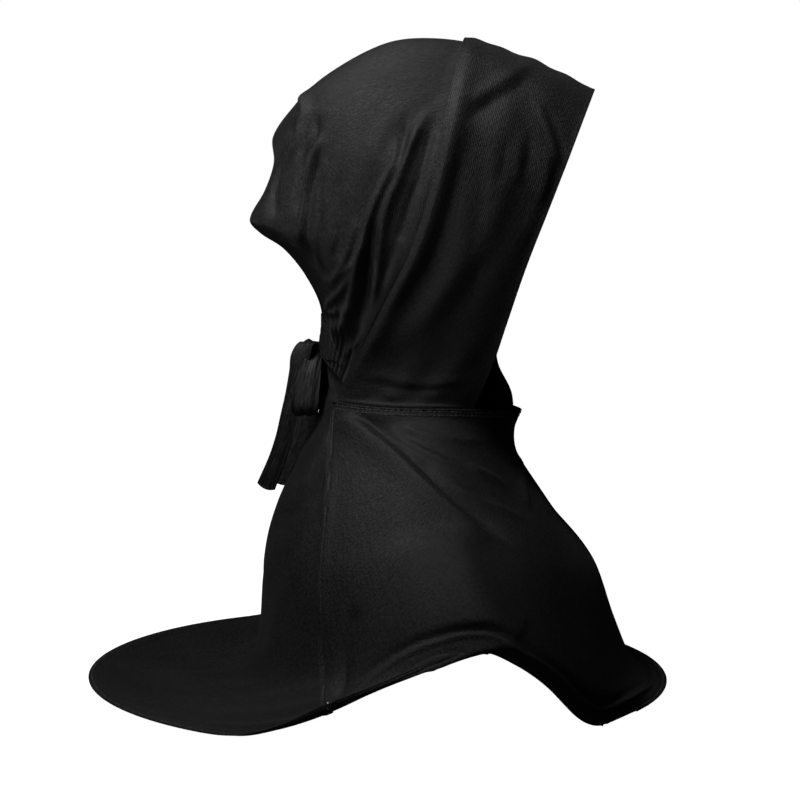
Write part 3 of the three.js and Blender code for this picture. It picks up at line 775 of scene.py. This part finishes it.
# %% Folds of the bag
# Height, width before and after the line, and places from the back to the ridge and from the crown to the
# nape.
BAG_FOLDS = [
    (2.8, 2, 7, [(0.823, 0.443), (0.83, 0.495), (0.818, 0.55), (0.807, 0.594), (0.812, 0.644),
                  (0.825, 0.693), (0.81, 0.735), (0.705, 0.807)]),
    (-3.0, 3.5, 2.5, [(0.825, 0.374), (0.848, 0.428), (0.857, 0.48), (0.855, 0.527), (0.838, 0.569),
                  (0.835, 0.606), (0.845, 0.653), (0.87, 0.71), (0.882, 0.77), (0.887, 0.832),
                  (0.882, 0.876)]),
    (3.0, 3, 4, [(0.94, 0.349), (0.9, 0.391), (0.875, 0.451), (0.867, 0.493), (0.86, 0.532), (0.855, 0.582),
                  (0.867, 0.634), (0.895, 0.686), (0.92, 0.743), (0.945, 0.792), (0.968, 0.824)]),
    (-2.3, 3, 5, [(0.958, 0.359), (0.953, 0.411), (0.945, 0.465), (0.943, 0.517), (0.935, 0.562),
                  (0.938, 0.604), (0.945, 0.653), (0.953, 0.701), (0.96, 0.745), (0.98, 0.79)]),
    (2.0, 2, 3, [(0.943, 0.636), (0.96, 0.668), (0.973, 0.708), (0.975, 0.75)]),
    (-2.2, 3, 3, [(0.825, 0.614), (0.85, 0.661), (0.882, 0.713), (0.897, 0.767),
                  (0.907, 0.819), (0.897, 0.879)]),
    (2.2, 2.5, 4, [(0.807, 0.649), (0.833, 0.705), (0.83, 0.762), (0.812, 0.824),
                  (0.785, 0.894), (0.752, 0.936)]),
    (1.4, 2, 3, [(0.76, 0.624), (0.775, 0.666), (0.78, 0.715), (0.735, 0.772), (0.633, 0.842)]),
    (-1.0, 3, 3, [(0.675, 0.582), (0.712, 0.641), (0.738, 0.698), (0.715, 0.748)]),
    (1.5, 2.5, 2.5, [(0.812, 0.748), (0.775, 0.797), (0.685, 0.849), (0.5, 0.913),
                  (0.657, 0.891), (0.777, 0.847)]),
    (2.2, 5, 5, [(0.41, 0.958), (0.657, 0.928), (0.787, 0.886), (0.802, 0.859), (0.755, 0.849)]),
    (3.4, 2.5, 5, [(0.025, 0.374), (0.29, 0.431), (0.32, 0.473), (0.325, 0.515), (0.297, 0.559)]),
    (-3.8, 5, 4, [(0.242, 0.451), (0.272, 0.51), (0.22, 0.577), (0.318, 0.644), (0.407, 0.683)]),
    (-3.0, 3, 3, [(0.43, 0.438), (0.448, 0.49), (0.432, 0.545), (0.463, 0.604), (0.525, 0.671)]),
    (2.4, 2, 4, [(0.49, 0.475), (0.478, 0.515), (0.468, 0.564), (0.485, 0.606),
                  (0.527, 0.656), (0.557, 0.703), (0.545, 0.748)]),
    (-3.4, 5, 3, [(0.505, 0.495), (0.51, 0.55), (0.52, 0.599), (0.562, 0.651),
                  (0.59, 0.705), (0.585, 0.755), (0.555, 0.819)]),
    (-2.0, 4, 4, [(0.535, 0.537), (0.568, 0.599), (0.617, 0.656), (0.657, 0.713),
                  (0.625, 0.792), (0.637, 0.822)]),
    (-0.7, 4, 4, [(0.617, 0.547), (0.67, 0.626), (0.715, 0.683)]),
    (-0.6, 4, 4, [(0.568, 0.522), (0.62, 0.621)]),
    (1.5, 3, 3, [(1, 0.829), (1, 0.864), (0.932, 0.913), (0.818, 0.963)]),
    (-1.2, 2, 2, [(1, 0.856), (0.975, 0.901), (0.895, 0.941)]),
]

# %% Make the bag
def pleats(a, b):
    """The small gathers at the nape: two waves round the bag, the first with a pitch that varies."""
    return np.sin(a * 58 + 2.2 * np.sin(a * 9) + 3 * b) + 0.6 * np.sin(a * 91 + 1.0)


bag_a = spread(-1, 1, 236, 0.006)
bag_b = spread(0, 1, 186, 0.002)
B, A = np.meshgrid(bag_b, bag_a, indexing="ij")
plain = bag(A, B)
plain[0] = plain[0].mean(0)
normal = grid_normals(plain[:, ::-1])[:, ::-1]
down, along = run_lengths(plain)
height = fold_sum(bag, plain, -normal, BAG_FOLDS, (-1, 1), 21)
height = height + ripple(along - along[:, 118:119], down, 5, 0.3, 26, 120) * ease(B, 0.2, 0.5)
height = height + 0.55 * pleats(A, B) * ease(B, 0.80, 0.97)
height = height * ease(1 - np.abs(A), 0.02, 0.07) * ease(B, 0.1, 0.25) * (1 - 0.6 * ease(B, 0.96, 1))
edge_lift = 0.9 * roll_height(B * GATHER_AT) + 0.8 * ease(B, 0.85, 1.0)
height = height + edge_lift * ease(np.abs(A), 0.90, 1.0)
bag_grid = (plain + normal * height[..., None])[:, ::-1]
hood_back = close_sheet("hood_back_cloth", bag_grid, 1.1, jersey, top=(0, 0, 1))
print("bag, mm across and down:", along.max().round(), down[-1].mean().round())

# %% [markdown]
# ## The cape
#
# The two panels of the cape share one surface and one table of folds, so a fold that starts in front can
# cross the side seam. With a table for each panel the two halves would have to be matched by hand. The
# back panel ends in a broad tongue that lies on the surface below, with a stitched hem all round.

# %% Folds of the cape
# Height, width before and after the line, and places as share of the way down and degrees from the front.
CAPE_FOLDS = [
    (3.8, 2.6, 11, [(0.0, 140), (0.04, 131.5), (0.087, 113.5), (0.147, 99.2), (0.203, 90),
                  (0.25, 84), (0.29, 78.8), (0.33, 72.8), (0.38, 67.5)]),
    (-3.4, 8, 3, [(0.0, 133), (0.027, 125.7), (0.097, 105), (0.167, 90.5), (0.233, 81.5),
                  (0.293, 73.8), (0.343, 66.8), (0.4, 61)]),
    (2.0, 2.5, 4, [(0.063, 107.3), (0.113, 92), (0.16, 78.5), (0.177, 65.5), (0.2, 53), (0.217, 43.8)]),
    (2.0, 2.5, 4, [(0.087, 108.2), (0.147, 93.5), (0.19, 83.5), (0.23, 73.5),
                  (0.267, 64.5), (0.293, 54.2), (0.307, 46.2)]),
    (1.4, 2.5, 3, [(0.063, 99.5), (0.097, 83), (0.107, 67.8), (0.103, 50.3)]),
    (-1.9, 3, 2.5, [(0.08, 101), (0.133, 84.8), (0.167, 72), (0.187, 59.3)]),
    (-1.9, 3, 2.5, [(0.173, 87.2), (0.213, 78.5), (0.243, 68.5), (0.277, 56.8)]),
    (4.0, 16, 34, [(0.327, 80.8), (0.42, 82), (0.503, 82.2), (0.597, 79.5), (0.983, 66.8)]),
    (1.5, 2, 4, [(0.133, 2.5), (0.207, 29.5), (0.28, 43.5)]),
    (1.2, 6, 3, [(0.15, 132.2), (0.28, 126), (0.393, 125.7), (0.497, 127.2), (0.58, 127.2)]),
    (1.5, 5, 6, [(0.09, 140.8), (0.157, 144.2), (0.24, 144)]),
    (-0.8, 2, 2, [(0.29, 163.5), (0.287, 146.8), (0.297, 133.8)]),
    (-3.0, 4, 2.5, [(0.51, 115), (0.555, 117), (0.60, 118.5), (0.65, 118), (0.70, 115.5), (0.74, 112.5)]),
    (0.9, 8, 8, [(0.253, 136.2), (0.367, 136.8), (0.48, 141.5)]),
    (0.7, 5, 6, [(0.6, 166), (0.72, 170), (0.84, 172), (0.93, 173)]),
    (-0.6, 4, 5, [(0.62, 172), (0.74, 175), (0.86, 177), (0.93, 178)]),
]


def in_cape(a, degrees):
    """The cape with its second place in degrees from the front."""
    return cape(a, np.radians(degrees))


# %% Make the front of the cape
COLLAR_ROWS = (2.2, 4.6)


def collar_rows(down):
    """Depth, up to 1, of the dips that the two rows of stitches below the collar press into the cloth."""
    return sum(np.exp(-((down - row) / 0.7) ** 2) for row in COLLAR_ROWS)


def cape_folds(grid, normal):
    """Height of all folds of the cape on one of its panels."""
    return fold_sum(in_cape, grid, normal, CAPE_FOLDS, (1, -1), 31, 0.16)


front_a = spread(0, 1, 118, 0.0035)
close = 1 - np.array([0.004, 0.0058, 0.0076, 0.0094, 0.0112, 0.013, 0.016])
front_b = np.unique(np.concatenate([spread(-1, 1, 330, 0.002), close, -close]))
A, B = np.meshgrid(front_a, front_b, indexing="ij")
plain = cape_front_sheet(A, B)
down, along = run_lengths(plain)
to_hem = from_hem(plain)
fade = ease(A, 0.02, 0.07) * ease(to_hem, 8, 18)
to_seam = np.minimum(along, along[:, -1:] - along)
height = cape_folds(plain, grid_normals(plain)) * fade + ripple(along, down, 8, 0.4, 120, 90) * fade
height = height - 0.6 * np.exp(-((to_seam - 2.4) / 0.8) ** 2)
front_grid = raised(plain, height + hem(to_hem, HEM_WIDTH) - 0.35 * collar_rows(down))
cape_front = close_sheet("cape_front_cloth", front_grid, 0.6 + 0.5 * ease(to_seam, 1, 5), jersey, grain=35)
front_rows = [beside(front_grid, to_hem, gap) for gap in HEM_ROWS]
front_rows = front_rows + [beside(front_grid, -down, -gap) for gap in COLLAR_ROWS]
front_stitches = make_stitches("front_stitches", front_rows)
print("cape front, mm down and round the hem:", down[-1].mean().round(), along[-1, -1].round())

# %% Make the back of the cape
back_a = np.concatenate([spread(-1, 0, 26, 0.01)[:-1], spread(0, 1, 112, 0.003)])
back_b = spread(-1, 1, 290, 0.002)
A, B = np.meshgrid(back_a, back_b, indexing="ij")
plain = cape_back_sheet(A, B)
down, along = run_lengths(plain)
to_hem = from_hem(plain)
fade = ease(A, 0.03, 0.10) * ease(to_hem, 8, 18)
height = cape_folds(plain, grid_normals(plain)) * fade + ripple(along, down, 9, 0.4, 60, 150) * fade
to_seam = np.minimum(along, along[:, -1:] - along)
height = height - 0.8 * (1 - ease(to_seam, UNDER - 0.6, UNDER + 2.5)) * ease(A, 0.0, 0.03)
back_grid = raised(plain, height + hem(to_hem, HEM_WIDTH))
cape_back = close_sheet("cape_back_cloth", back_grid, 1.1, jersey, grain=10)
back_stitches = make_stitches("back_stitches", [beside(back_grid, to_hem, gap) for gap in HEM_ROWS])
print("cape back, mm down and round the hem:", down[-1].mean().round(), along[-1, -1].round())

# %% [markdown]
# ## The loose thread
#
# A short end of white thread sticks out where the side seam meets the hem. A curve with a bevel could
# make it, but the stitch maker already lays rods along a line, so the thread is a very short row of
# stitches. Its finish is rough and fibrous, and its noise reads Object coordinates.

# %% A loose end of thread at the hem
thread_white = Finish("thread_white")
inside = thread_white.node("ShaderNodeTexCoord", out="Object")
fibre = thread_white.node("ShaderNodeTexNoise", {}, {"Vector": inside, "Scale": 900, "Detail": 2})
thread_white.set(thread_white.shader.inputs["Base Color"], (0.75, 0.74, 0.72, 1))
thread_white.set(thread_white.shader.inputs["Roughness"], 0.6 + 0.3 * fibre)
hem_corner = front_grid[-1, 8]  # a few columns in from the right side seam
spine = hem_corner + np.array([[0, -0.4, 1.0], [0.4, -0.6, -1.0], [0.2, -0.8, -3.0], [0.9, -0.9, -5.0]])
ends = np.tile([[0.0, -1.0, 0.0]], (4, 1))
points, faces = stitch_row(spine, ends, 1.3, 1.5, 0.45)
loose_end = make_mesh("loose_thread", points, faces, points[:, :2], thread_white.material)

# %% [markdown]
# ## The tie
#
# Two doubled strips of the same jersey, sewn into the sides of the bag, cross at the nape and make a
# small bow. The band is the strip over the rim of the bag. The loops and tails are ribbons carried along
# a path, with soft pleats that run lengthwise and close up at the knot. A bevelled curve would give them
# one width all along, and these narrow toward the knot. The knot itself is a plump ball with slanting
# ridges.

# %% Make the band and the knot
TIE_WIDTH, TIE_WALL, TIE_LENGTH, LOOP_LENGTH, KNOT_SIZE = 18, 2, 90, 43, 13
band_a = spread(-0.85, 0.85, 150, 0.006)
band_b = spread(0.955, 0.995, 14, 0.003)
B, A = np.meshgrid(band_b, band_a, indexing="ij")
B = 0.975 + (B - 0.975) * (1 - 0.8 * ease(np.abs(A), 0.5, 0.85))
lift = WALL + 0.35 * pleats(A, B) - 0.3 * np.sin((B - 0.955) * 420) ** 2 - 0.5 * ease(np.abs(A), 0.6, 0.85)
over = bag(A, B) + normals(bag, A, B) * lift[..., None]
tie_band = close_sheet("tie_band_cloth", over[:, ::-1], 1.0, tie_cloth)

rim = bag(0, 0.975)
knot_at = np.array([rim[0] - WALL - 2 * GAP - 0.6 * KNOT_SIZE, 0, -0.86 * CROWN_DROP])


def knot_shape(u, v):
    """A plump lump wrapped by two slanting turns of cloth, which show as soft ridges round it."""
    x, y, z = np.cos(v) * np.cos(u), np.cos(v) * np.sin(u), np.sin(v)
    wrap = 1 + 0.05 * np.sin(5 * (z * 1.2 + 0.7 * y) + 0.6) + 0.03 * np.sin(11 * z + 2 * u)
    size = 0.5 * KNOT_SIZE * wrap
    return knot_at + point(0.92 * x * size, 1.1 * y * size, 1.3 * z * size)


V, U = np.meshgrid(np.linspace(np.pi / 2, -np.pi / 2, 40), np.linspace(0, 2 * np.pi, 73), indexing="ij")
knot_points = knot_shape(U, V).reshape(-1, 3)
index = np.arange(U.size).reshape(U.shape)
knot_faces = np.stack([index[:-1, :-1], index[1:, :-1], index[1:, 1:], index[:-1, 1:]], -1).reshape(-1, 4)
knot_flat = np.stack([U * KNOT_SIZE / 2, V * KNOT_SIZE / 2], -1).reshape(-1, 2)
tie_knot = make_mesh("tie_knot_cloth", knot_points, knot_faces, knot_flat, tie_cloth)

# %% Make the loops and tails
# Places from the knot as shares of the strip's length, forward, out and up; then the share of its full
# width, and the turn of its width from the forward direction in degrees.
LOOP_PATH = np.array([
    [0.12, 0.08, 0.06, 0.40, 0], [0.12, 0.28, -0.01, 0.52, 0], [0.06, 0.46, -0.28, 0.82, 2],
    [0.00, 0.565, -0.62, 1.02, 4], [-0.03, 0.59, -0.86, 1.02, 6], [-0.03, 0.51, -0.985, 0.92, 6],
    [-0.03, 0.43, -0.86, 1.00, 6], [0.04, 0.34, -0.55, 0.85, 4], [0.12, 0.20, -0.28, 0.55, 0],
    [0.12, 0.08, -0.14, 0.40, 0]])
TAIL_PATH = np.array([
    [0.06, 0.04, 0.00, 0.45, 60], [0.055, 0.10, 0.045, 0.60, 50], [0.00, 0.15, 0.06, 0.75, 35],
    [-0.05, 0.165, -0.03, 0.78, 15], [-0.072, 0.165, -0.15, 0.68, 5], [-0.11, 0.165, -0.33, 0.62, 0],
    [-0.145, 0.165, -0.48, 0.62, 0], [-0.185, 0.155, -0.66, 0.65, 0], [-0.24, 0.145, -0.83, 0.68, 0],
    [-0.32, 0.13, -1.02, 0.74, 0]])


def ribbon(path, side, length, t, s, pleat, seed, tip):
    """A strip along a path of places from the knot; s goes once round its flat oval section. Its last end
    is drawn out by tip mm in the middle."""
    steps = np.arange(len(path))

    def spine(t):
        forward, out, up = (curve(steps, path[:, i], t) for i in range(3))
        return knot_at + length * point(forward, side * out, up)

    centre = spine(t)
    tangent = unit(spine(np.minimum(t + 0.05, steps[-1])) - spine(np.maximum(t - 0.05, 0)))
    turn = np.radians(curve(steps, path[:, 4], t))
    aim = point(np.cos(turn), side * np.sin(turn), 0)
    wide = unit(aim - (aim * tangent).sum(-1, keepdims=True) * tangent)
    flat = np.cross(tangent, wide)
    c, d = np.cos(s), np.sin(s)
    u = 0.5 * TIE_WIDTH * curve(steps, path[:, 3], t) * np.sign(c) * np.abs(c) ** 0.5
    v = 0.5 * (TIE_WALL - 0.4) * np.sign(d) * np.abs(d) ** 0.6
    lift = pleat * np.sin(u * 0.9 + seed + 0.6 * np.sin(t * 1.3)) + 0.3 * pleat * np.sin(u * 2.3 + t + seed)
    last = ease(t, steps[-1] - 1.2, steps[-1]) * (1 - 4 * (u / TIE_WIDTH) ** 2)
    return centre + wide * u[..., None] + flat * (v + lift)[..., None] + tangent * (tip * last)[..., None]


def make_ribbon(name, path, side, length, pleat, seed, tip=0):
    """The ribbon as a closed mesh: a tube of rings whose two ends are filled by strips across the flat
    section."""
    t, s = np.meshgrid(np.linspace(0, len(path) - 1, 150), np.linspace(0, 2 * np.pi, 49)[:-1], indexing="ij")
    grid = ribbon(path, side, length, t, s, pleat, seed, tip)
    index = np.arange(t.size).reshape(t.shape)
    beside_it = np.roll(index, -1, axis=1)
    faces = [np.stack([index[:-1], beside_it[:-1], beside_it[1:], index[1:]], -1).reshape(-1, 4)]
    ring = index.shape[1]
    half = ring // 2
    for end in (index[0], index[-1]):
        upper, lower = end[1:half], end[:half:-1]
        faces.append(np.stack([upper[:-1], upper[1:], lower[1:], lower[:-1]], -1))
        faces.append(end[[[0, 1, ring - 1, ring - 1], [half - 1, half, half + 1, half + 1]]])
    flat = np.stack([np.cos(s) * TIE_WIDTH / 2, t * length / len(path)], -1).reshape(-1, 2)
    piece = make_mesh(name, grid.reshape(-1, 3), np.concatenate(faces), flat, tie_cloth)
    work = bmesh.new()
    work.from_mesh(piece.data)
    bmesh.ops.recalc_face_normals(work, faces=work.faces)
    work.to_mesh(piece.data)
    work.free()
    return piece


# The left loop and tail lie nearer to the cape, by these shares in the first column, and that tail is
# flatter.
LOOP_PATH_LEFT = LOOP_PATH + np.outer([0, 0, 0.05, 0.10, 0.10, 0.10, 0.10, 0.05, 0, 0], [1, 0, 0, 0, 0])
TAIL_PATH_LEFT = TAIL_PATH + np.outer([0, 0, 0, 0.06, 0.10, 0.10, 0.10, 0.10, 0.09, 0.07], [1, 0, 0, 4, 0])
TIES = [("right", -1, LOOP_PATH, TAIL_PATH), ("left", 1, LOOP_PATH_LEFT, TAIL_PATH_LEFT)]
ties = {}
for word, side, looped, hanging in TIES:
    ties["loop", word] = make_ribbon(f"tie_loop_{word}_cloth", looped, side, LOOP_LENGTH, 0.55, side)
    ties["tail", word] = make_ribbon(f"tie_tail_{word}_cloth", hanging, side, TIE_LENGTH, 0.2, 2 + side, 4)

# %% [markdown]
# ## Ride and replace
#
# Every piece rides on the one body, because a garment has no joints, and stands for its solid. Every
# panel and strip is listed in a table with the size of the cloth that it was cut from and what it
# rests on.

# %% Fit the pieces to the frame
# Piece, solid, flat size in m, cloth in square metres, how it is held and what it rests on.
SHEETS = [
    (face_panel, "face_panel", (0.66, 0.12), 0.059, "stretched", ["tie_band_cloth"]),
    (hood_back, "hood_back", (0.34, 0.33), 0.075, "gathered", ["face_panel_cloth"]),
    (cape_front, "cape_front", (0.60, 0.24), 0.10, "draped", ["face_panel_cloth"]),
    (cape_back, "cape_back", (0.44, 0.27), 0.072, "draped", ["face_panel_cloth"]),
    (tie_band, "tie_band", (0.012, 0.13), None, "stretched", ["hood_back_cloth"]),
    (ties["loop", "right"], "tie_loop_right", (0.018, 0.10), None, "folded", ["tie_knot_cloth"]),
    (ties["loop", "left"], "tie_loop_left", (0.018, 0.10), None, "folded", ["tie_knot_cloth"]),
    (ties["tail", "right"], "tie_tail_right", (0.018, 0.11), None, "hung", ["tie_knot_cloth"]),
    (ties["tail", "left"], "tie_tail_left", (0.018, 0.11), None, "hung", ["tie_knot_cloth"]),
]
for piece, node, flat, area, held, rests in SHEETS:
    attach(piece, "root")
    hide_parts(node)
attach(tie_knot, "root")
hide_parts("tie_knot")
for piece in (front_stitches, back_stitches, loose_end):
    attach(piece, "root")
print("pieces that ride", len(SHEETS) + 4)

# %% [markdown]
# ## The floor
#
# The back panel lies on a plain pale floor, just under the lowest cloth. The floor shines a little by
# itself, so that it looks as white as the world. It is hidden from the rays that the cloth sends out,
# because a real white floor would throw so much light up that the black would turn grey.

# %% Make the floor
bpy.ops.mesh.primitive_plane_add(size=60, location=(0, 0, cad_low[2] - 0.001))
floor = bpy.context.object
floor.name = "floor"
paper = Finish("floor_paper")
paper.set(paper.shader.inputs["Base Color"], (0.5, 0.5, 0.5, 1))
paper.set(paper.shader.inputs["Emission Color"], (1, 1, 1, 1))
paper.set(paper.shader.inputs["Emission Strength"], 1.0)
paper.set(paper.shader.inputs["Roughness"], 1.0)
paper.set(paper.shader.inputs["Specular IOR Level"], 0.0)
floor.data.materials.append(paper.material)
floor.visible_diffuse = False
floor.visible_glossy = False
print("floor at z in mm:", round(floor.location.z / MM, 1))
